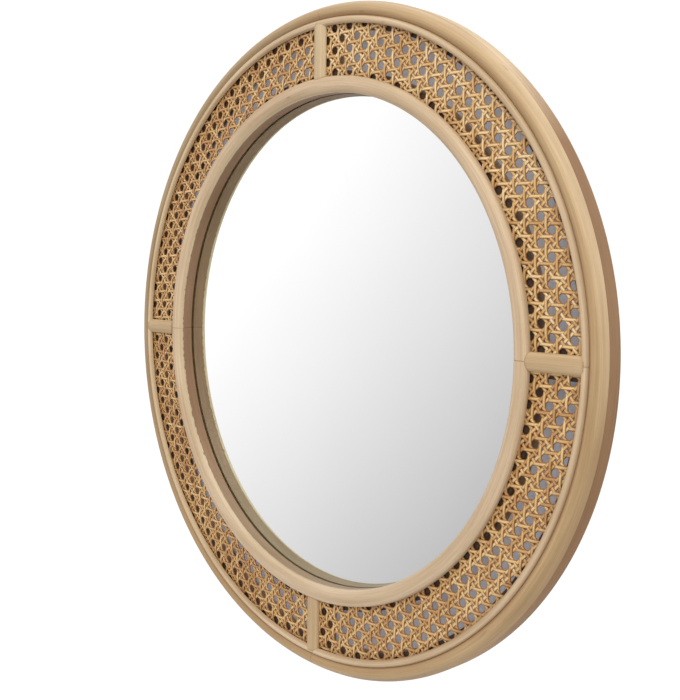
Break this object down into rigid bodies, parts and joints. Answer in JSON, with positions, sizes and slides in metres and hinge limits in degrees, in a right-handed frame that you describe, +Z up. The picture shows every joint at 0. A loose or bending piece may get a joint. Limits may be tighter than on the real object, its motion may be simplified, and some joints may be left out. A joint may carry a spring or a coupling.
{
  "type": "wall mirror",
  "caption": "Round wall mirror with a bent wooden rim, a border of woven cane crossed by half-round rods, and an inner ring around the glass.",
  "frame": {"origin": "centre of the back, on the plane that lies against the wall", "axes": "+Z up, +X to the right as seen from the front, -Y out of the wall towards the room"},
  "size_m": [0.6096, 0.0234, 0.6096],
  "materials": {
    "rim_wood": "satin lacquer",
    "bead_wood": "satin lacquer",
    "ring_wood": "satin lacquer",
    "rod_wood": "satin lacquer",
    "cane": "natural cane, slight sheen",
    "frame_wood": "plain sawn wood",
    "mirror_glass": "silvered, polished",
    "back_board": "plain fibreboard"
  },
  "bodies": {
    "root": {"outer_rim_right": "rim_wood", "outer_rim_left": "rim_wood", "bead": "bead_wood", "inner_ring_upper": "ring_wood", "inner_ring_lower": "ring_wood", "spoke_right": "rod_wood", "spoke_top": "rod_wood", "spoke_left": "rod_wood", "spoke_bottom": "rod_wood", "cane_panel_top_right": "cane", "cane_panel_top_left": "cane", "cane_panel_bottom_left": "cane", "cane_panel_bottom_right": "cane", "back_hoop_outer": "frame_wood", "back_hoop_inner": "frame_wood", "back_bar_right": "frame_wood", "back_bar_top": "frame_wood", "back_bar_left": "frame_wood", "back_bar_bottom": "frame_wood", "mirror_glass": "mirror_glass", "back_board": "back_board"}
  },
  "joints": []
}
